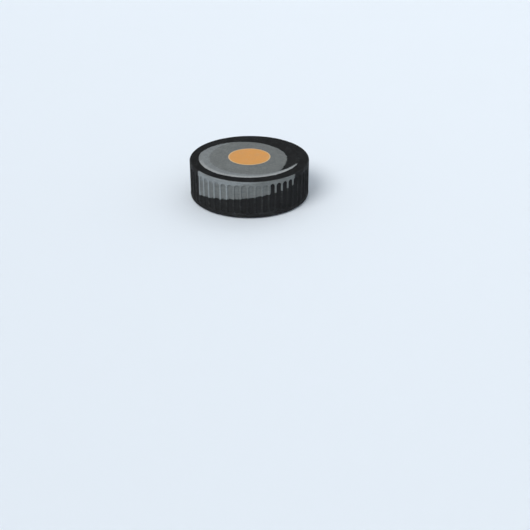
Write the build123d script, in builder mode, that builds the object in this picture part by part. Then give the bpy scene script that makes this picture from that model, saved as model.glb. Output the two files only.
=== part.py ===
"""A regulation ice hockey puck: one moulded rubber disc, and two coats of ink printed on its upper face.

Millimetres. The origin is the centre of the lower face, and +Z points up through the printed face.
"""

from build123d import *

import os
from math import pi, radians, tan

# Driving dimensions of the rubber disc
PUCK_DIAMETER = 76.2  # 3 inches, measured over the parting ridge
PUCK_THICKNESS = 25.4  # 1 inch
RIDGE_PROUD = 0.1  # how far the trimmed parting ridge stands out of the wall
RIDGE_WIDTH = 0.35
RIDGE_HEIGHT = 2.1  # middle of the ridge above the lower face

# Each face: a flat field, a shoulder that rolls off gently, a small step at its lip, and a lower border
FIELD_RADIUS = 26.4
LIP_RADIUS = 32.0
SHOULDER_DROP = 0.15  # fall of the shoulder from the field to the lip
STEP_RUN = 0.3
STEP_DROP = 0.25
BORDER_DROP = 0.2  # fall of the border from the step to the wall
LIP_ROUND = 0.3
STEP_FOOT_ROUND = 0.25
EDGE_ROUND = 1.0  # where the border meets the wall

# The grip: upright ribs left standing between round-ended pockets
RIB_COUNT = 54
RIB_WIDTH = 1.0  # across the crown
GRIP_TURN = -1.8  # degrees from +X round to the middle of the nearest pocket
POCKET_DEPTH = 0.55
POCKET_MARGIN = 3.2  # from the level of each flat field to the near end of a pocket
POCKET_DRAFT = 25.0  # degrees, so that the mould releases
POCKET_ROUND = 0.18  # where a pocket's walls meet its floor
CUTTER_PAST_WALL = 0.45  # how far the pocket cutter runs on outside the wall

# The printed spot: a pale base coat, and an orange coat that stops just short of the base coat's edge
BASE_COAT_RADIUS = 13.5
BASE_COAT_FILM = 0.04
TOP_COAT_RADIUS = 12.9
TOP_COAT_FILM = 0.05

# Sizes that follow from those
WALL_RADIUS = PUCK_DIAMETER / 2 - RIDGE_PROUD
MID_HEIGHT = PUCK_THICKNESS / 2
POCKET_FLOOR_RADIUS = WALL_RADIUS - POCKET_DEPTH
POCKET_MOUTH_WIDTH = 2 * pi * WALL_RADIUS / RIB_COUNT - RIB_WIDTH
POCKET_DRAFT_RUN = POCKET_DEPTH * tan(radians(POCKET_DRAFT))
POCKET_FLOOR_WIDTH = POCKET_MOUTH_WIDTH - 2 * POCKET_DRAFT_RUN
POCKET_FLOOR_LENGTH = PUCK_THICKNESS - 2 * POCKET_MARGIN - 2 * POCKET_DRAFT_RUN


def quarter_outline():
    """The turned outline above mid-height, as points (radius, drop below the flat field) from lip to wall."""
    step_foot_drop = SHOULDER_DROP + STEP_DROP
    lip = (LIP_RADIUS, SHOULDER_DROP)
    step_foot = (LIP_RADIUS + STEP_RUN, step_foot_drop)
    wall_top = (WALL_RADIUS, step_foot_drop + BORDER_DROP)
    return lip, step_foot, wall_top


def make_pocket_cutter():
    """The solid that cuts one pocket, lying on +X: a round-ended plug that widens outwards."""
    floor_plane = Plane(origin=(POCKET_FLOOR_RADIUS, 0, MID_HEIGHT), x_dir=(0, 1, 0), z_dir=(1, 0, 0))
    with BuildPart() as cutter:
        with BuildSketch(floor_plane):
            SlotOverall(POCKET_FLOOR_LENGTH, POCKET_FLOOR_WIDTH, rotation=90)
        extrude(amount=POCKET_DEPTH + CUTTER_PAST_WALL, taper=-POCKET_DRAFT)
        floor_face = cutter.faces().sort_by(Axis.X)[0]
        fillet(floor_face.edges(), radius=POCKET_ROUND)
    return cutter.part


def make_rubber_disc(pocket_cutter):
    """The vulcanised rubber disc: turned outline, parting ridge and grip pockets."""
    lip, step_foot, wall_top = quarter_outline()
    with BuildPart() as disc:
        with BuildSketch(Plane.XZ) as half_section:
            with BuildLine():
                for level, up in ((0, 1), (PUCK_THICKNESS, -1)):
                    field_end = (FIELD_RADIUS, level)
                    lip_point = (lip[0], level + up * lip[1])
                    Line((0, level), field_end)
                    TangentArc(field_end, lip_point, tangent=(1, 0))
                    Polyline(
                        lip_point,
                        (step_foot[0], level + up * step_foot[1]),
                        (wall_top[0], level + up * wall_top[1]),
                        (wall_top[0], MID_HEIGHT),
                    )
                Line((0, 0), (0, PUCK_THICKNESS))
            make_face()
            # Inner corners keep their place in the list while the outer ones are rounded first
            for corner_ring, corner_round in ((-1, EDGE_ROUND), (3, STEP_FOOT_ROUND), (2, LIP_ROUND)):
                corners = half_section.vertices().group_by(Axis.X)[corner_ring]
                fillet(corners.filter_by(is_off_mid_height), radius=corner_round)
        with BuildSketch(Plane.XZ):
            ridge_bottom = (WALL_RADIUS, RIDGE_HEIGHT - RIDGE_WIDTH / 2)
            ridge_top = (WALL_RADIUS, RIDGE_HEIGHT + RIDGE_WIDTH / 2)
            with BuildLine():
                ThreePointArc(ridge_bottom, (PUCK_DIAMETER / 2, RIDGE_HEIGHT), ridge_top)
                Polyline(
                    ridge_top,
                    (WALL_RADIUS - RIDGE_WIDTH, ridge_top[1]),
                    (WALL_RADIUS - RIDGE_WIDTH, ridge_bottom[1]),
                    ridge_bottom,
                )
            make_face()
        revolve(axis=Axis.Z)
        with PolarLocations(0, RIB_COUNT, start_angle=GRIP_TURN):
            add(pocket_cutter, mode=Mode.SUBTRACT)
    return disc.part


def is_off_mid_height(vertex):
    return abs(vertex.Z - MID_HEIGHT) > EDGE_ROUND


def make_coat(radius, film, base_height):
    """One printed coat of ink: a very thin disc standing on the level base_height."""
    with BuildPart() as coat:
        with BuildSketch(Plane.XY.offset(base_height)):
            Circle(radius)
        extrude(amount=film)
    return coat.part


def save(part, name):
    part.label = name
    export_step(part, f"parts/{name}.step")


os.makedirs("parts", exist_ok=True)

rubber_disc = make_rubber_disc(make_pocket_cutter())
print_base_coat = make_coat(BASE_COAT_RADIUS, BASE_COAT_FILM, PUCK_THICKNESS)
print_top_coat = make_coat(TOP_COAT_RADIUS, TOP_COAT_FILM, PUCK_THICKNESS + BASE_COAT_FILM)

save(rubber_disc, "rubber_disc")
save(print_base_coat, "print_base_coat")
save(print_top_coat, "print_top_coat")
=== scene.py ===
"""The ice hockey puck's visual model: moulded rubber, a printed spot, their wear, lights and a camera.

The frame is the CAD frame: the origin is the centre of the lower face, and +Z points up through the printed
face. Lengths in the tables are millimetres, and MM turns them into metres. An angle round the puck is in
degrees from the front, which is -Y, towards +X.
"""

import math
import random

import bmesh
import bpy
import numpy as np
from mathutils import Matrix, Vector, noise


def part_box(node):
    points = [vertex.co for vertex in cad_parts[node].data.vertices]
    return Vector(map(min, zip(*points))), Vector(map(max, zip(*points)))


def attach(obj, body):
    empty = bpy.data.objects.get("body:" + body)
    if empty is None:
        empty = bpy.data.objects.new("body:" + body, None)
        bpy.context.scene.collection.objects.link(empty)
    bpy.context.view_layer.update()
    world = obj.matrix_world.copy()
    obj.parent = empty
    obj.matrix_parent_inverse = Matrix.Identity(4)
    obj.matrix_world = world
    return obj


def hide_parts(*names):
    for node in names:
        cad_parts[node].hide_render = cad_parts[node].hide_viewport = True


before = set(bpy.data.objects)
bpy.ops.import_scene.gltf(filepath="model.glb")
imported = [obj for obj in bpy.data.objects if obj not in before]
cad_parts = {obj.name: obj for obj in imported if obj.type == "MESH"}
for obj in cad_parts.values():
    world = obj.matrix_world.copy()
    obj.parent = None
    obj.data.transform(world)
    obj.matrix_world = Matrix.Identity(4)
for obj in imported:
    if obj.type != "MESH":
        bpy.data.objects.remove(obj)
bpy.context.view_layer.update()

MM = 0.001

# ---------------------------------------------------------------------------------------------------------
# Sizes, in millimetres. The disc's own size comes from the frame.
# ---------------------------------------------------------------------------------------------------------
disc_low, disc_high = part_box("rubber_disc")
THICKNESS = round((disc_high.z - disc_low.z) / MM, 2)
RIDGE_RADIUS = round((disc_high.x - disc_low.x) / 2 / MM, 1)
MID_HEIGHT = THICKNESS / 2
RIDGE_PROUD = 0.1
RIDGE_WIDTH = 0.35
RIDGE_HEIGHT = 2.1
WALL_RADIUS = RIDGE_RADIUS - RIDGE_PROUD

# Each face: a flat field, a shoulder that rolls off, a step at its lip and a lower border
FIELD_RADIUS = 26.4
LIP_RADIUS = 32.0
SHOULDER_DROP = 0.15
STEP_RUN = 0.3
STEP_DROP = 0.25
BORDER_DROP = 0.2
LIP_ROUND = 0.3
STEP_FOOT_ROUND = 0.25
EDGE_ROUND = 1.0

# The grip
RIB_COUNT = 54
RIB_WIDTH = 1.0
GRIP_TURN = math.radians(-1.8)  # from +X round to the middle of the nearest pocket
POCKET_DEPTH = 0.55
POCKET_MARGIN = 3.2
POCKET_DRAFT = math.radians(25)
POCKET_ROUND = 0.2
MOUTH_ROUND = 0.14
POCKET_HALF_WIDTH = (2 * math.pi * WALL_RADIUS / RIB_COUNT - RIB_WIDTH) / 2
POCKET_HALF_STRAIGHT = MID_HEIGHT - POCKET_MARGIN - POCKET_HALF_WIDTH
CROWN_LAND = 0.22  # the flat strip of crown that a pocket's rounded mouth starts from

# How finely the disc is divided
BAND_MARGIN = 2.7  # the quads of the ribbed band start this far from each face
CELL_COLUMNS = 12  # quads across one rib and pocket along the band's edge
CORNER_ROWS = 2  # rows of a cell's side that fan round a pocket's end
STRAIGHT_ROWS = 16
COLUMNS = RIB_COUNT * CELL_COLUMNS
SHOULDER_STEPS = 7
LIP_STEPS = 3
STEP_FOOT_STEPS = 2
EDGE_STEPS = 7
RIDGE_STEPS = 4
MOUTH_STEPS = 3  # round a pocket's mouth, and again round its floor
LONGEST_STEP = 0.85  # between two rings of the margin
HALVED_RINGS = (26.0, 24.0)  # each ring inside the field has half as many vertices as the one outside it
FIELD_RINGS = (18.0, 12.0, 6.0, 2.0)
FLOOR_SHARES = (0.3, 0.6)  # rows between a pocket's round end and its straight part

# Nicks: the rings that they lie on, as radius, height and how many, and their half lengths and depths
NICK_SEED = 7
NICK_RINGS = (
    (WALL_RADIUS - 0.3, THICKNESS - 0.9, 26),
    (WALL_RADIUS - 0.3, 0.9, 22),
    (LIP_RADIUS, THICKNESS - SHOULDER_DROP, 12),
    (LIP_RADIUS, SHOULDER_DROP, 10),
    (WALL_RADIUS, MID_HEIGHT, 10),
)
NICK_SIZE = (0.5, 1.1)
NICK_DEPTH = (0.12, 0.22)  # as a share of the size
NICK_STRETCH = (1.0, 2.2)
SINK = 0.02  # how far the moulded surface sinks unevenly
SINK_GRAIN = 9.0

# The ink films
COAT_COLUMNS = 256
COAT_EDGE = ((0.0, 0.0), (0.0, 0.35), (0.02, 0.7), (0.06, 0.92), (0.14, 1.0))  # inset, share of the film
COAT_RING_SHARES = (0.97, 0.8, 0.5, 0.2)
COAT_RING_INSET = 0.3
COAT_WAVES = 9  # how closely the waves of a coat's edge follow each other
COAT_RIPPLES = 3  # times as close again
RIPPLE_SHARE = 0.6
BASE_COAT_WANDER = 0.12  # how far a coat's edge draws in where the stencil was poor
TOP_COAT_WANDER = 0.16

# The floor: how far it is flat from the axis, the radius that it sweeps up on, and its wall above that
FLOOR_MIDDLE = 100.0
FLOOR_FLAT = 1600.0
FLOOR_CURVE = 700.0
FLOOR_WALL = 900.0
FLOOR_CURVE_STEPS = 12
FLOOR_COLUMNS = 96

# The camera: its lens, its distance from the puck's middle and its elevation there, and how far its axis
# passes below and to the right of that middle. The three angles are in degrees.
CAMERA_LENS = 63.1
CAMERA_SENSOR = 36.0
CAMERA_DISTANCE = 600.0
CAMERA_ELEVATION = 23.8
AXIS_BELOW_PUCK = 5.54
AXIS_RIGHT_OF_PUCK = 1.04
CAMERA_NEAR = 10.0
CAMERA_FAR = 20000.0

# The lights. Each sun: name, azimuth, elevation, strength, spread in degrees, and colour
SKY_STRENGTH = 0.56
SKY_COLOUR = (0.95, 0.98, 1.0)
SUNS = (
    ("key", -42, 48, 1.85, 36, (1.0, 0.99, 0.97)),
    ("back_fill", 155, 40, 0.4, 50, (1.0, 1.0, 1.0)),
)

# ---------------------------------------------------------------------------------------------------------
# Colours, where the rubber is worn, and where light, highlights and shade are painted on it
# ---------------------------------------------------------------------------------------------------------
BLACK_RUBBER = (0.0168, 0.0170, 0.0172)
# Grey for wear, and for painted light on the upper face and the front of the wall
WORN_AND_LIT_RUBBER = (0.148, 0.157, 0.154)
# Paler grey for painted highlights, and for light scratches
HIGHLIGHT_AND_SCRATCH_GREY = (0.198, 0.213, 0.217)
# The lip's painted highlight
LIP_HIGHLIGHT_GREY = (0.326, 0.336, 0.338)
ORANGE_INK = (0.60, 0.262, 0.045)
BASE_INK = (0.60, 0.42, 0.22)
FLOOR_COLOURS = ((0.778, 0.826, 0.880), (0.784, 0.832, 0.888))
FLOOR_CLOUDS = 180.0

# The grain that breaks up every mark: its size, detail and roughness, and how far it is stretched each way
BROAD_GRAIN = (7.0, 3.0)
MEDIUM_GRAIN = (1.6, 3.0, 0.6)
FINE_GRAIN = (0.3, 3.0, 0.7)
SLIDE_GRAIN = (0.35, 3.0, 0.65, (14, 14, 1))  # level streaks round the wall
GRAIN_CONTRAST = 5

# Scratches: width, length, turns in the level plane in degrees, seed, and how rare they are
HAIRLINES = (0.16, 9.0, (12, 38, 64, 95, 127, 158), 3.0, 0.63)
CUTS = (0.22, 22.0, (22, 71, 109, 146), 51.0, 0.71)
CLEAN_LINES = (0.2, 12.0, (5, 52, 84, 133), 87.0, 0.66)
SCRATCH_FADE = 0.06
SCRATCH_SHIFT = 7.3  # moves the noise on, from one direction of scratches to the next

# Ink: the pitch of the stencil's mesh, and the scuffs and pinholes in it
MESH_PITCH = 0.42
INK_GRAIN = (5.0, 3.0)
INK_FINE_GRAIN = (0.3, 2.0, 0.6)
INK_SCUFFS = (0.16, 8.0, (25, 66, 98, 143))
INK_SCUFF_RARITY = 0.68
PINHOLE_SIZE = 0.5
TURNING_PITCH = 0.55  # of the faint turning marks that the mould left on each face

# Shares of the rubber's tone: painted light added on the wall, and painted shade taken off in the pockets of
# the lit rub, on the wall's rounded top edge where it is painted lit, and on clean rubber of the upper face
WALL_PAINTED_LIGHT = 0.18
POCKET_SHADE = 0.12
POCKET_SHADE_FADE = 0.002  # per degree to the right
ROUNDED_EDGE = (THICKNESS - 3.0, THICKNESS - 1.2)  # the heights between which its share sets in
ROUNDED_EDGE_SHADE = 0.11
CLEAN_FACE_SHADE = 0.4

# Circles on the upper face, as x, y and radius: grey inside the first, partly wear and partly painted light,
# with painted shade left black beyond it at the right and back; and paler outside the second, as a painted
# highlight
RUBBED_AND_LIT_CIRCLE = (-4.6, -3.45, 28.4)
HIGHLIGHT_CIRCLE = (2.2, -0.4, 27.6)
LOWER_RUBBED_CIRCLE = (1.0, 1.5, 29.0)
HIGHLIGHT_MIDDLE = -6.0  # the angle that the painted highlight crescent lies about
POINT_FROM = 38.0  # from this angle on, the crescent narrows to a point
POINT_PER_DEGREE = 0.055
BULGE = 1.2  # how far the grey reaches past its circle in front, to meet the crescent
BULGE_FADE = 20.0  # degrees past POINT_FROM in which that dies away

# The painted light on the front of the wall, textured as a broad rub, with painted shade left black below
# its
# slanting foot and past its ends: its ends, its upper limit and its lower limit in front, how far each
# climbs per degree, and how far round its pockets are painted lit as well as its ribs, past which they stay
# black as painted shade
LIT_RUB_FROM = -56.5
LIT_RUB_TO = 46.8
LIT_RUB_TOP = 24.45
LIT_RUB_TOP_CLIMB = 0.008  # to the left of the front only
LIT_RUB_FOOT = 13.9
LIT_RUB_CLIMB = 0.085
LIT_POCKETS_TO = 20.0
# Ribs to the left of this angle carry a painted highlight on their crowns
HIGHLIT_RIBS_TO = -18.5
HIGHLIT_MARGIN_FOOT = 23.6  # the painted highlight strip under the lit rub's upper limit thins out to the right
HIGHLIT_MARGIN_CLIMB = 0.085
BEHIND = (62.0, 110.0)  # the angles between which the dulling of the back sets in


# ---------------------------------------------------------------------------------------------------------
# Outlines
# ---------------------------------------------------------------------------------------------------------
def rounded_corner(before, corner, after, radius, steps):
    """Points along the arc of that radius that rounds a corner of an outline."""
    arrive = (corner - before).normalized()
    leave = (after - corner).normalized()
    turn = arrive.angle(leave)
    reach = radius * math.tan(turn / 2)
    start = corner - arrive * reach
    end = corner + leave * reach
    bulge = (corner - (start + end) / 2).normalized()
    centre = corner + -bulge * (radius / math.cos(turn / 2))
    spoke = start - centre
    side = end - centre
    points = []
    for step in range(steps + 1):
        share = step / steps
        a = math.sin((1 - share) * turn) / math.sin(turn)
        b = math.sin(share * turn) / math.sin(turn)
        points.append(centre + spoke * a + side * b)
    return points


def with_short_steps(points, longest):
    """The same outline with extra points, so that no step is longer than that."""
    out = [points[0]]
    for a, b in zip(points, points[1:]):
        pieces = max(1, math.ceil((b - a).length / longest - 1e-6))
        out += [a.lerp(b, i / pieces) for i in range(1, pieces + 1)]
    return out


def half_outline(with_ridge):
    """Outline from the flat field's rim to the band of pockets, as vectors (radius, drop from the field)."""
    shoulder_run = LIP_RADIUS - FIELD_RADIUS
    shoulder_round = (shoulder_run**2 + SHOULDER_DROP**2) / (2 * SHOULDER_DROP)
    shoulder_turn = math.asin(shoulder_run / shoulder_round)
    shoulder = []
    for step in range(SHOULDER_STEPS):
        angle = shoulder_turn * step / SHOULDER_STEPS
        run = shoulder_round * math.sin(angle)
        drop = shoulder_round * (1 - math.cos(angle))
        shoulder.append(Vector((FIELD_RADIUS + run, drop)))
    foot_drop = SHOULDER_DROP + STEP_DROP
    lip = Vector((LIP_RADIUS, SHOULDER_DROP))
    foot = Vector((LIP_RADIUS + STEP_RUN, foot_drop))
    edge = Vector((WALL_RADIUS, foot_drop + BORDER_DROP))
    band = Vector((WALL_RADIUS, BAND_MARGIN))
    outline = list(shoulder)
    outline += rounded_corner(shoulder[-1], lip, foot, LIP_ROUND, LIP_STEPS)
    outline += rounded_corner(lip, foot, edge, STEP_FOOT_ROUND, STEP_FOOT_STEPS)
    outline += rounded_corner(foot, edge, band, EDGE_ROUND, EDGE_STEPS)
    if with_ridge:
        for step in range(RIDGE_STEPS + 1):
            angle = math.pi * step / RIDGE_STEPS
            drop = RIDGE_HEIGHT - RIDGE_WIDTH / 2 * math.cos(angle)
            outline.append(Vector((WALL_RADIUS + RIDGE_PROUD * math.sin(angle), drop)))
    outline.append(band)
    return with_short_steps(outline, LONGEST_STEP)


def pocket_section():
    """Section across a pocket's wall, as pairs (distance in from the mouth, depth), from crown to floor."""
    crown = Vector((-1.0, 0.0))
    mouth = Vector((0.0, 0.0))
    wall_foot = Vector((POCKET_DEPTH * math.tan(POCKET_DRAFT), POCKET_DEPTH))
    floor = Vector((1.0, POCKET_DEPTH))
    section = [Vector((-CROWN_LAND, 0.0))]
    section += rounded_corner(crown, mouth, wall_foot, MOUTH_ROUND, MOUTH_STEPS)
    section += rounded_corner(mouth, wall_foot, floor, POCKET_ROUND, MOUTH_STEPS)
    return section


# ---------------------------------------------------------------------------------------------------------
# Mesh work
# ---------------------------------------------------------------------------------------------------------
class Sheet:
    """Collects vertices, in millimetres, and faces that share them, all turned by one angle on the axis."""

    def __init__(self, turn=0.0):
        self.points = []
        self.faces = []
        self.turn = turn

    def add(self, point):
        self.points.append(point)
        return len(self.points) - 1

    def on_wall(self, angle, radius, height):
        angle += self.turn
        return self.add((radius * math.cos(angle), radius * math.sin(angle), height))

    def ring(self, columns, radius, height):
        """A level circle of vertices. radius may be a function of the angle."""
        ids = []
        for column in range(columns):
            angle = 2 * math.pi * column / columns
            reach = radius(angle) if callable(radius) else radius
            ids.append(self.on_wall(angle, reach, height))
        return ids

    def join(self, a, b, closed=True):
        """A strip of quads between two rows of the same length."""
        count = len(a) if closed else len(a) - 1
        for i in range(count):
            j = (i + 1) % len(a)
            corners = [a[i], a[j], b[j], b[i]]
            self.faces.append(list(dict.fromkeys(corners)))

    def halve(self, outer, inner):
        """A strip from one ring to a ring with half as many vertices."""
        count = len(inner)
        for i in range(count):
            first, middle, last = outer[2 * i], outer[2 * i + 1], outer[(2 * i + 2) % len(outer)]
            here, following = inner[i], inner[(i + 1) % count]
            self.faces.append([first, middle, here])
            self.faces.append([middle, last, following, here])

    def cap(self, ring, height):
        """Closes a ring with triangles to a vertex on the axis."""
        middle = self.add((0.0, 0.0, height))
        for i, vertex in enumerate(ring):
            self.faces.append([vertex, ring[(i + 1) % len(ring)], middle])

    def make(self, name, edit=None):
        """The closed mesh object, in metres, smooth shaded, with its faces turned outwards."""
        points = np.array(self.points)
        if edit:
            points = edit(points)
        mesh = bpy.data.meshes.new(name)
        mesh.from_pydata((points * MM).tolist(), [], self.faces)
        mesh.update()
        work = bmesh.new()
        work.from_mesh(mesh)
        bmesh.ops.recalc_face_normals(work, faces=work.faces)
        work.to_mesh(mesh)
        work.free()
        mesh.shade_smooth()
        obj = bpy.data.objects.new(name, mesh)
        bpy.context.scene.collection.objects.link(obj)
        return obj


def add_half(sheet, level, up, with_ridge):
    """One face of the disc with its shoulder, step, border and margin. Returns the band's edge ring."""
    rings = []
    for radius, drop in half_outline(with_ridge):
        height = level + up * drop
        rings.append(sheet.ring(COLUMNS, radius, height))
    for a, b in zip(rings, rings[1:]):
        sheet.join(a, b)
    field = rings[0]
    for radius in HALVED_RINGS:
        smaller = sheet.ring(len(field) // 2, radius, level)
        sheet.halve(field, smaller)
        field = smaller
    for radius in FIELD_RINGS:
        smaller = sheet.ring(len(field), radius, level)
        sheet.join(field, smaller)
        field = smaller
    sheet.cap(field, level)
    return rings[-1]


def cell_side(sheet, column, top_ring, bottom_ring):
    """The vertices down the crown of one rib, from the band's top edge to its bottom edge."""
    angle = 2 * math.pi * column / COLUMNS
    top, bottom = THICKNESS - BAND_MARGIN, BAND_MARGIN
    straight_top, straight_bottom = MID_HEIGHT + POCKET_HALF_STRAIGHT, MID_HEIGHT - POCKET_HALF_STRAIGHT
    stretches = (
        (top, straight_top, CORNER_ROWS),
        (straight_top, straight_bottom, STRAIGHT_ROWS),
        (straight_bottom, bottom, CORNER_ROWS),
    )
    heights = [start + (end - start) * row / rows for start, end, rows in stretches for row in range(rows)]
    inner = [sheet.on_wall(angle, WALL_RADIUS, height) for height in heights[1:]]
    return [top_ring[column % COLUMNS], *inner, bottom_ring[column % COLUMNS]]


def stadium(inset):
    """A pocket's outline, moved in by that much, as (across, up) from the pocket's middle."""
    end_steps = CELL_COLUMNS + 2 * CORNER_ROWS
    half_width = POCKET_HALF_WIDTH - inset
    points = []
    for end in (1, -1):
        for i in range(end_steps):
            angle = math.pi * i / end_steps
            across = half_width * math.cos(angle)
            up = POCKET_HALF_STRAIGHT + half_width * math.sin(angle)
            points.append((end * across, end * up))
        for i in range(STRAIGHT_ROWS):
            up = POCKET_HALF_STRAIGHT * (1 - 2 * i / STRAIGHT_ROWS)
            points.append((-end * half_width, end * up))
    return points


def add_pocket(sheet, index, left_side, right_side, top_ring, bottom_ring):
    """One pocket and the half ribs beside it, from the cell's border to the pocket's floor."""
    first = index * CELL_COLUMNS - CELL_COLUMNS // 2
    middle_angle = 2 * math.pi * index / RIB_COUNT
    top_edge = [top_ring[(first + i) % COLUMNS] for i in range(CELL_COLUMNS + 1)]
    bottom_edge = [bottom_ring[(first + i) % COLUMNS] for i in range(CELL_COLUMNS + 1)]
    # The border runs the same way round as the pocket's outline, and starts level with its first point
    corner = CORNER_ROWS
    border = right_side[corner:0:-1] + top_edge[:0:-1] + left_side[:-1]
    border += bottom_edge[:-1] + right_side[:corner:-1]
    rings = [border]
    for inset, depth in pocket_section():
        ring = []
        for across, up in stadium(inset):
            angle = middle_angle + across / WALL_RADIUS
            ring.append(sheet.on_wall(angle, WALL_RADIUS - depth, MID_HEIGHT + up))
        rings.append(ring)
    for a, b in zip(rings, rings[1:]):
        sheet.join(a, b)
    fill_floor(sheet, rings[-1])


def fill_floor(sheet, ring):
    """Quads across a pocket's floor: a grid between its straight sides, and fanned rows at its ends."""
    end_steps = CELL_COLUMNS + 2 * CORNER_ROWS
    turn = end_steps + STRAIGHT_ROWS
    top_arc = ring[: end_steps + 1]
    left = ring[end_steps : turn + 1]
    bottom_arc = ring[turn : turn + end_steps + 1]
    right = ring[turn + end_steps :] + [ring[0]]
    bottom_arc = bottom_arc[::-1]
    right = right[::-1]
    rows = []
    for left_vertex, right_vertex in zip(left, right):
        rows.append(across_row(sheet, right_vertex, left_vertex, end_steps))
    for a, b in zip(rows, rows[1:]):
        sheet.join(a, b, closed=False)
    for arc, chord in ((top_arc, rows[0]), (bottom_arc, rows[-1])):
        previous = arc
        for share in FLOOR_SHARES:
            between = [arc[0]]
            for a, b in zip(arc[1:-1], chord[1:-1]):
                point = Vector(sheet.points[a]).lerp(Vector(sheet.points[b]), share)
                between.append(sheet.add(tuple(point)))
            between.append(arc[-1])
            sheet.join(previous, between, closed=False)
            previous = between
        sheet.join(previous, chord, closed=False)


def across_row(sheet, start, end, steps):
    a, b = Vector(sheet.points[start]), Vector(sheet.points[end])
    inner = [sheet.add(tuple(a.lerp(b, i / steps))) for i in range(1, steps)]
    return [start, *inner, end]


def make_rubber():
    """The moulded disc with its pockets, ridge, nicks and slight unevenness."""
    sheet = Sheet(turn=GRIP_TURN)
    top_ring = add_half(sheet, THICKNESS, -1, with_ridge=False)
    bottom_ring = add_half(sheet, 0.0, 1, with_ridge=True)
    half_cell = CELL_COLUMNS // 2
    sides = []
    for index in range(RIB_COUNT):
        sides.append(cell_side(sheet, index * CELL_COLUMNS + half_cell, top_ring, bottom_ring))
    for index in range(RIB_COUNT):
        add_pocket(sheet, index, sides[index - 1], sides[index], top_ring, bottom_ring)
    return sheet.make("puck_rubber", edit=wear_down)


def wear_down(points):
    """Presses small nicks into the edges, and lets the surface sink very slightly and unevenly."""
    random.seed(NICK_SEED)
    middle = np.array((0.0, 0.0, MID_HEIGHT))
    towards_middle = middle - points
    towards_middle /= np.linalg.norm(towards_middle, axis=1)[:, None]
    sink = np.array([noise.noise(Vector(point) / SINK_GRAIN) for point in points])
    press = SINK * (1 + sink)
    for radius, height, count in NICK_RINGS:
        for _ in range(count):
            angle = random.uniform(-math.pi, math.pi)
            size = random.uniform(*NICK_SIZE)
            depth = size * random.uniform(*NICK_DEPTH)
            centre = np.array((radius * math.cos(angle), radius * math.sin(angle), height))
            along = np.array((-math.sin(angle), math.cos(angle), 0.0))
            offset = points - centre
            run = offset @ along
            across = np.linalg.norm(offset - np.outer(run, along), axis=1)
            distance = np.hypot(run / random.uniform(*NICK_STRETCH), across) / size
            press = press + depth * np.clip(1 - distance**2, 0, 1) ** 2
    on_field = np.hypot(points[:, 0], points[:, 1]) < FIELD_RADIUS + 0.01
    press[on_field] = 0
    return points + towards_middle * press[:, None]


def make_coat(name, node, wander, seed):
    """One coat of ink, from its CAD node's own box: a film with a rolled edge that wanders a little."""
    low, high = (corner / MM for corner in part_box(node))
    reach, film = (high.x - low.x) / 2, high.z - low.z
    sheet = Sheet()

    def at_edge(inset):
        def radius(angle):
            on_circle = Vector((math.cos(angle), math.sin(angle), 0)) * COAT_WAVES + Vector((0, 0, seed))
            ripples = noise.noise(on_circle * COAT_RIPPLES)
            ripple = (noise.noise(on_circle) + RIPPLE_SHARE * ripples) / (1 + RIPPLE_SHARE)
            return reach - inset - wander * (0.5 - 0.5 * ripple)

        return radius

    rings = [sheet.ring(COAT_COLUMNS, at_edge(inset), low.z + film * share) for inset, share in COAT_EDGE]
    for a, b in zip(rings, rings[1:]):
        sheet.join(a, b)
    for level, outer in ((high.z, rings[-1]), (low.z, rings[0])):
        previous = outer
        for share in COAT_RING_SHARES:
            smaller = sheet.ring(COAT_COLUMNS, reach * share - COAT_RING_INSET, level)
            sheet.join(previous, smaller)
            previous = smaller
        sheet.cap(previous, level)
    return sheet.make(name)


# ---------------------------------------------------------------------------------------------------------
# Materials. Every place in a material is in millimetres in the frame.
# ---------------------------------------------------------------------------------------------------------
class Signal:
    """A number on a wire between nodes, so that a shader's sums read as sums."""

    def __init__(self, nodes, socket):
        self.nodes = nodes
        self.socket = socket

    def _math(self, operation, *others):
        return self.nodes.math(operation, self, *others)

    def __add__(self, other):
        return self._math("ADD", other)

    __radd__ = __add__

    def __sub__(self, other):
        return self._math("SUBTRACT", other)

    def __rsub__(self, other):
        return self.nodes.math("SUBTRACT", other, self)

    def __mul__(self, other):
        return self._math("MULTIPLY", other)

    __rmul__ = __mul__

    def most(self, other):
        return self._math("MAXIMUM", other)

    def least(self, other):
        return self._math("MINIMUM", other)

    def size(self):
        return self._math("ABSOLUTE")

    def above(self, other):
        return self._math("GREATER_THAN", other)

    def rise(self, low, high):
        """0 up to low, 1 from high on, and smooth between. It falls instead where low is more than high."""
        node = self.nodes.new("ShaderNodeMapRange", interpolation_type="SMOOTHSTEP")
        self.nodes.feed(node.inputs["Value"], self)
        self.nodes.feed(node.inputs["From Min"], low)
        self.nodes.feed(node.inputs["From Max"], high)
        return Signal(self.nodes, node.outputs["Result"])


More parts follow.
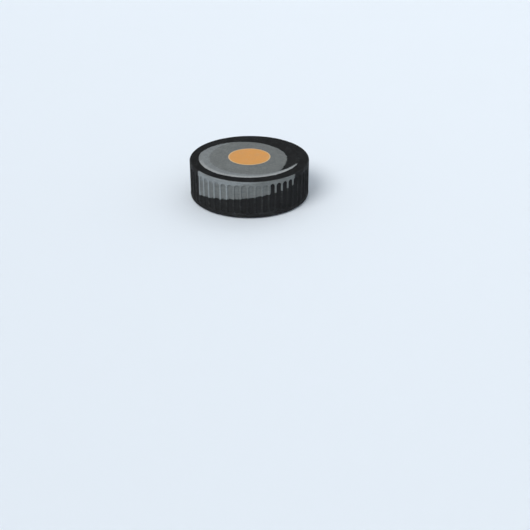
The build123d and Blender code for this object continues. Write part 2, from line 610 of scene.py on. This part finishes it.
class Nodes:
    """Short calls that wire up the nodes of one material."""

    def __init__(self, name, specular):
        self.material = bpy.data.materials.new(name)
        self.material.use_nodes = True
        self.tree = self.material.node_tree
        self.shader = self.tree.nodes["Principled BSDF"]
        self.shader.inputs["Specular IOR Level"].default_value = specular
        place = self.new("ShaderNodeTexCoord").outputs["Object"]
        scale = self.new("ShaderNodeVectorMath", operation="SCALE")
        self.feed(scale.inputs[0], place)
        scale.inputs["Scale"].default_value = 1 / MM
        self.place = scale.outputs[0]
        split = self.new("ShaderNodeSeparateXYZ")
        self.feed(split.inputs[0], self.place)
        self.x, self.y, self.z = (Signal(self, split.outputs[axis]) for axis in "XYZ")

    def new(self, kind, **settings):
        node = self.tree.nodes.new(kind)
        for key, setting in settings.items():
            setattr(node, key, setting)
        return node

    def feed(self, socket, value):
        if isinstance(value, Signal):
            value = value.socket
        if isinstance(value, bpy.types.NodeSocket):
            self.tree.links.new(value, socket)
        else:
            socket.default_value = value

    def math(self, operation, *values):
        node = self.new("ShaderNodeMath", operation=operation)
        for socket, value in zip(node.inputs, values):
            self.feed(socket, value)
        return Signal(self, node.outputs[0])

    def distance(self, x, y):
        """Distance from the upright line through (x, y)."""
        return self.math("SQRT", (self.x - x) * (self.x - x) + (self.y - y) * (self.y - y))

    def noise(self, grain, detail=2.0, roughness=0.5, stretch=(1, 1, 1), turn=0.0, shift=0.0):
        """Noise from 0 to 1 with bumps of about that many millimetres."""
        mapping = self.new("ShaderNodeMapping")
        self.feed(mapping.inputs["Vector"], self.place)
        mapping.inputs["Rotation"].default_value = (0, 0, math.radians(turn))
        mapping.inputs["Location"].default_value = (shift, 2 * shift, 3 * shift)
        squeeze = self.new("ShaderNodeVectorMath", operation="DIVIDE")
        self.feed(squeeze.inputs[0], mapping.outputs[0])
        squeeze.inputs[1].default_value = [grain * axis for axis in stretch]
        texture = self.new("ShaderNodeTexNoise")
        self.feed(texture.inputs["Vector"], squeeze.outputs[0])
        texture.inputs["Scale"].default_value = 1.0
        texture.inputs["Detail"].default_value = detail
        texture.inputs["Roughness"].default_value = roughness
        return Signal(self, texture.outputs["Fac"])

    def grain(self, *where, **how):
        """The same noise, stretched out to run from -1 to 1."""
        stretched = self.noise(*where, **how) * GRAIN_CONTRAST - GRAIN_CONTRAST / 2
        return stretched.most(-1.0).least(1.0)

    def scratches(self, width, length, turns, seed, rarity):
        """Fine straight scratches, from 0 to 1, at each of those turns in the level plane."""
        total = None
        for index, turn in enumerate(turns):
            shift = seed + SCRATCH_SHIFT * index
            streak = self.noise(width, 1.0, 0.5, (1, length / width, 1), turn, shift)
            line = streak.rise(rarity, rarity + SCRATCH_FADE)
            total = line if total is None else total.most(line)
        return total

    def blend(self, share, a, b):
        """The colour a where share is 0, and b where it is 1."""
        node = self.new("ShaderNodeMix", data_type="RGBA")
        self.feed(node.inputs["Factor"], share)
        colour_sockets = [socket for socket in node.inputs if socket.type == "RGBA"]
        for socket, value in zip(colour_sockets, (a, b)):
            self.feed(socket, value if isinstance(value, bpy.types.NodeSocket) else (*value, 1.0))
        return next(socket for socket in node.outputs if socket.type == "RGBA")

    def brighten(self, colour, factor):
        """A colour times a number."""
        node = self.new("ShaderNodeVectorMath", operation="SCALE")
        self.feed(node.inputs[0], colour)
        self.feed(node.inputs["Scale"], factor)
        return node.outputs[0]

    def finish(self, colour, roughness, height):
        """Wires the colour, the roughness and the height of the relief, in millimetres, to the shader."""
        self.feed(self.shader.inputs["Base Color"], colour)
        self.feed(self.shader.inputs["Roughness"], roughness)
        bump = self.new("ShaderNodeBump")
        bump.inputs["Strength"].default_value = 1.0
        bump.inputs["Distance"].default_value = MM
        self.feed(bump.inputs["Height"], height)
        self.feed(self.shader.inputs["Normal"], bump.outputs[0])
        return self.material


class Wear:
    """The grain that breaks up every mark, and the places that the marks are measured from."""

    def __init__(self, nodes):
        self.nodes = nodes
        self.from_axis = nodes.distance(0, 0)
        self.round_angle = nodes.math("DEGREES", nodes.math("ARCTAN2", nodes.x, 0 - nodes.y))
        self.upper = nodes.z.above(MID_HEIGHT)
        self.on_face = self.from_axis.rise(LIP_RADIUS + STEP_RUN * 0.7, LIP_RADIUS + STEP_RUN * 0.2)
        self.on_wall = self.from_axis.rise(WALL_RADIUS - 1.0, WALL_RADIUS - 0.6)
        self.crown = self.from_axis.rise(WALL_RADIUS - 0.5, WALL_RADIUS - 0.2)
        self.broad = nodes.grain(*BROAD_GRAIN)
        self.medium = nodes.grain(*MEDIUM_GRAIN, shift=11)
        self.fine = nodes.grain(*FINE_GRAIN, shift=23)
        self.slides = nodes.grain(*SLIDE_GRAIN, shift=37)
        self.hairlines = nodes.scratches(*HAIRLINES)
        self.cuts = nodes.scratches(*CUTS)
        self.clean = nodes.scratches(*CLEAN_LINES)
        self.ragged = self.broad * 0.35 + self.medium * 0.4 + self.fine * 0.3

    def broken(self, mark, grain, reach=0.3):
        """A mark whose soft rim breaks up into its grain."""
        return (mark + grain * reach).rise(0.38, 0.62)

    def inside(self, circle, ragged, soft, bulge=0.0):
        """1 well inside a circle (x, y, radius), 0 well outside it, with a ragged and soft rim."""
        x, y, radius = circle
        return (radius - self.nodes.distance(x, y) - self.ragged * ragged + bulge).rise(-soft, soft)


def face_marks(wear):
    """The faces' wear and painted light, their painted highlight crescent and their lip's painted highlight,
    each 0 to 1.
    """
    nodes = wear.nodes
    grain = wear.fine * 0.7 + (wear.hairlines - wear.clean) * 0.8
    fading = (POINT_FROM + BULGE_FADE - wear.round_angle).least(BULGE_FADE).most(0.0)
    bulge = fading * (BULGE / BULGE_FADE) * wear.round_angle.rise(-115.0, -85.0)
    # The grey patch is partly wear and partly painted light; the clean black it leaves at the right and back
    # is painted shade
    upper_worn_and_lit = wear.broken(wear.inside(RUBBED_AND_LIT_CIRCLE, 0.7, 1.3, bulge), grain)
    scuffed = wear.inside(LOWER_RUBBED_CIRCLE, 2.5, 6.0) * (0.62 + wear.broad * 0.12 + grain * 0.16)
    # worn holds the faces' wear and painted light
    worn = (wear.upper * upper_worn_and_lit + (1 - wear.upper) * scuffed) * wear.on_face

    # A painted highlight: a pale crescent round the left and front of the upper face's shoulder
    turned = nodes.math("COSINE", nodes.math("RADIANS", wear.round_angle - HIGHLIGHT_MIDDLE))
    span = wear.broken((turned + wear.medium * 0.03).rise(0.2, 0.36), grain).most(worn)
    narrowing = (wear.round_angle - POINT_FROM).most(0.0) * POINT_PER_DEGREE
    x, y, radius = HIGHLIGHT_CIRCLE
    painted_highlight = (nodes.distance(x, y) + wear.ragged * 0.4 - narrowing - radius).rise(-1.3, 1.3)
    painted_highlight = wear.broken(painted_highlight, grain, 0.22) * span * wear.on_face * wear.upper
    # A painted highlight along the lip, on the left and front
    lip_highlight = wear.from_axis.rise(LIP_RADIUS - 2.8, LIP_RADIUS - 0.8) * turned.rise(0.1, 0.6) * painted_highlight
    return worn.most(painted_highlight), painted_highlight, lip_highlight


def wall_marks(wear):
    """The wall's painted light, textured as a rub, its painted highlights and the wear that dulls its high
    spots, each 0 to 1.
    """
    nodes = wear.nodes
    grain = wear.slides * 0.8 + wear.fine * 0.5
    angle = wear.round_angle
    height = nodes.z + wear.ragged * 0.5
    # Painted light on the front of the wall, textured as a rub; below its slanting foot and past its ends
    # the wall stays black as painted shade
    lit_rub = (height - angle * LIT_RUB_CLIMB - LIT_RUB_FOOT).rise(-1.4, 1.4)
    lit_rub = lit_rub * angle.rise(LIT_RUB_FROM - 3.0, LIT_RUB_FROM + 2.4) * angle.rise(LIT_RUB_TO + 4.0, LIT_RUB_TO - 3.4)
    # Pockets far enough to the right stay black, as painted shade
    lit_rub = lit_rub * wear.crown.most(angle.rise(LIT_POCKETS_TO + 0.6, LIT_POCKETS_TO - 0.6) * 0.94)
    above_front = nodes.z + wear.fine * 0.08 + angle.least(0.0) * LIT_RUB_TOP_CLIMB
    under_edge = above_front.rise(LIT_RUB_TOP + 0.15, LIT_RUB_TOP - 0.15)
    # worn here holds only the wall's painted light
    worn = wear.broken(lit_rub, grain) * under_edge * wear.on_wall

    # Painted highlights: a strip under the lit rub's upper limit, and the crowns of the left-hand ribs
    highlit_margin = (height - angle * HIGHLIT_MARGIN_CLIMB - HIGHLIT_MARGIN_FOOT).rise(-0.8, 0.8)
    highlit_rib = wear.crown * angle.rise(HIGHLIT_RIBS_TO + 1.2, HIGHLIT_RIBS_TO - 1.2)
    painted_highlight = worn * highlit_margin.most(highlit_rib)

    behind = angle.size().rise(*BEHIND)
    dulled = behind * 0.62 + wear.broad * 0.2 + wear.slides * 0.22 + wear.fine * 0.2
    dulled = dulled.most(0.0) * wear.crown * wear.on_wall
    return worn, painted_highlight, dulled


def rubber_material():
    """Vulcanised rubber: matt black as moulded, grey where rubbed, and painted light, painted highlights and
    painted shade.
    """
    nodes = Nodes("moulded_rubber", specular=0.05)
    wear = Wear(nodes)
    on_face, off_face = wear.on_face, 1 - wear.on_face
    face_worn_and_lit, face_highlight, lip_highlight = face_marks(wear)
    wall_lit_rub, wall_highlight, dulled = wall_marks(wear)
    # worn joins the faces' wear and painted light with the wall's painted light
    worn = face_worn_and_lit.most(wall_lit_rub)
    hairlines = wear.hairlines * on_face
    cuts = wear.cuts * (on_face * 0.8 + 0.2)
    clean = wear.clean * on_face * worn

    # Grey for wear and painted light, then painted highlights, the lip's painted highlight, pale scratches
    # and dark clean lines
    colour = nodes.blend(worn.most(dulled * 0.42), BLACK_RUBBER, WORN_AND_LIT_RUBBER)
    colour = nodes.blend(face_highlight.most(wall_highlight), colour, HIGHLIGHT_AND_SCRATCH_GREY)
    colour = nodes.blend(lip_highlight, colour, LIP_HIGHLIGHT_GREY)
    colour = nodes.blend(hairlines * (0.1 + worn * 0.3) + cuts * 0.45, colour, HIGHLIGHT_AND_SCRATCH_GREY)
    colour = nodes.blend(clean * 0.3, colour, BLACK_RUBBER)
    # Painted shade in the lit rub's pockets, less of it to the right
    pocket_shade = POCKET_SHADE - wear.round_angle * POCKET_SHADE_FADE
    painted_pocket_shade = (1 - wear.crown) * wear.on_wall * wall_lit_rub * pocket_shade
    # Painted shade on the wall's rounded top edge under the lit rub
    painted_edge_shade = nodes.z.rise(*ROUNDED_EDGE) * wall_lit_rub * ROUNDED_EDGE_SHADE
    tone = 1 + wear.broad * 0.07 + wear.medium * 0.09 + wear.fine * 0.2 + wear.slides * off_face * 0.16
    # Painted shade on clean rubber of the upper face
    painted_face_shade = (1 - wear.on_wall) * (1 - worn) * wear.upper * CLEAN_FACE_SHADE
    # Painted light lifts the whole wall
    tone = tone + wear.on_wall * WALL_PAINTED_LIGHT - painted_pocket_shade - painted_edge_shade - painted_face_shade
    colour = nodes.brighten(colour, tone)

    roughness = 0.74 + on_face * 0.16 + worn * 0.06 + wear.fine * 0.06
    turning = nodes.math("SINE", wear.from_axis * (2 * math.pi / TURNING_PITCH)) * on_face
    height = wear.fine * 0.012 + wear.medium * 0.008 + turning * 0.002
    height = height - hairlines * 0.012 - cuts * 0.03 - clean * 0.01 + wear.slides * off_face * 0.006
    return nodes.finish(colour, roughness, height)


def ink_material(name, ink, worn_to, seed):
    """Screen-printed ink: an even film with a faint mesh pattern, pinholes and light scuffs."""
    nodes = Nodes(name, specular=0.3)
    broad = nodes.grain(*INK_GRAIN, shift=seed)
    fine = nodes.grain(*INK_FINE_GRAIN, shift=seed + 5)
    mesh_turn = 2 * math.pi / MESH_PITCH
    weave = nodes.math("SINE", nodes.x * mesh_turn) * nodes.math("SINE", nodes.y * mesh_turn)
    scuffs = nodes.scratches(*INK_SCUFFS, seed, INK_SCUFF_RARITY)
    pinholes = nodes.noise(PINHOLE_SIZE, 1.0, shift=seed + 9).rise(0.74, 0.78)
    worn = (scuffs * 0.45).most(pinholes * 0.6)
    colour = nodes.blend(worn, ink, worn_to)
    colour = nodes.brighten(colour, 1 + broad * 0.04 + fine * 0.06 + weave * 0.02)
    roughness = 0.5 + fine * 0.06 + broad * 0.05
    return nodes.finish(colour, roughness, fine * 0.004 + weave * 0.003 - worn * 0.02)


def floor_material():
    """A pale matt floor with the faintest clouds in it."""
    nodes = Nodes("pale_floor", specular=0.0)
    cloud = nodes.noise(FLOOR_CLOUDS, 2.0)
    return nodes.finish(nodes.blend(cloud, *FLOOR_COLOURS), 1.0, 0.0)


# ---------------------------------------------------------------------------------------------------------
# The puck
# ---------------------------------------------------------------------------------------------------------
def put(piece, node, material):
    """Lets a piece stand for its CAD node, with its material."""
    piece.data.materials.append(material)
    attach(piece, "root")
    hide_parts(node)


put(make_rubber(), "rubber_disc", rubber_material())
base = make_coat("ink_base", "print_base_coat", BASE_COAT_WANDER, 2.0)
put(base, "print_base_coat", ink_material("base_ink", BASE_INK, WORN_AND_LIT_RUBBER, 4.0))
top = make_coat("ink_spot", "print_top_coat", TOP_COAT_WANDER, 5.0)
put(top, "print_top_coat", ink_material("orange_ink", ORANGE_INK, BASE_INK, 8.0))


# ---------------------------------------------------------------------------------------------------------
# Floor, lights and camera
# ---------------------------------------------------------------------------------------------------------
def make_floor():
    """A pale floor that sweeps up into a round wall far off, turned about the puck's axis."""
    outline = [(FLOOR_MIDDLE, 0.0), (FLOOR_FLAT, 0.0)]
    for step in range(1, FLOOR_CURVE_STEPS + 1):
        angle = math.pi / 2 * step / FLOOR_CURVE_STEPS
        outline.append((FLOOR_FLAT + FLOOR_CURVE * math.sin(angle), FLOOR_CURVE * (1 - math.cos(angle))))
    outline.append((FLOOR_FLAT + FLOOR_CURVE, FLOOR_CURVE + FLOOR_WALL))
    sheet = Sheet()
    rings = [sheet.ring(FLOOR_COLUMNS, radius, height) for radius, height in outline]
    for a, b in zip(rings, rings[1:]):
        sheet.join(a, b)
    sheet.cap(rings[0], 0.0)
    floor = sheet.make("floor")
    floor.data.materials.append(floor_material())


def make_sun(name, azimuth, elevation, strength, spread, colour):
    """A soft distant light. Azimuth 0 is in front of the puck, and 90 is on its +X side."""
    lamp = bpy.data.lights.new(name, "SUN")
    lamp.energy = strength
    lamp.angle = math.radians(spread)
    lamp.color = colour
    obj = bpy.data.objects.new(name, lamp)
    a, e = math.radians(azimuth), math.radians(elevation)
    towards = Vector((math.sin(a) * math.cos(e), -math.cos(a) * math.cos(e), math.sin(e)))
    obj.rotation_mode = "QUATERNION"
    obj.rotation_quaternion = towards.to_track_quat("Z", "Y")
    bpy.context.scene.collection.objects.link(obj)


def make_world():
    """An even pale sky all round."""
    world = bpy.data.worlds.new("studio")
    world.use_nodes = True
    background = world.node_tree.nodes["Background"]
    background.inputs["Color"].default_value = (*SKY_COLOUR, 1)
    background.inputs["Strength"].default_value = SKY_STRENGTH
    bpy.context.scene.world = world


def make_camera():
    """Looks down on the puck from the front, with the puck high in the frame and a little to the left."""
    camera_data = bpy.data.cameras.new("camera")
    camera_data.lens = CAMERA_LENS
    camera_data.sensor_width = CAMERA_SENSOR
    camera_data.clip_start = CAMERA_NEAR * MM
    camera_data.clip_end = CAMERA_FAR * MM
    camera = bpy.data.objects.new("camera", camera_data)
    bpy.context.scene.collection.objects.link(camera)
    bpy.context.scene.camera = camera
    elevation = math.radians(CAMERA_ELEVATION)
    towards = Vector((0, -math.cos(elevation), math.sin(elevation)))
    camera.location = (Vector((0, 0, MID_HEIGHT)) + towards * CAMERA_DISTANCE) * MM
    pitch = math.radians(90 - CAMERA_ELEVATION - AXIS_BELOW_PUCK)
    camera.rotation_euler = (pitch, 0, -math.radians(AXIS_RIGHT_OF_PUCK))


make_floor()
make_world()
for sun in SUNS:
    make_sun(*sun)
make_camera()
bpy.context.scene.view_settings.view_transform = "Standard"
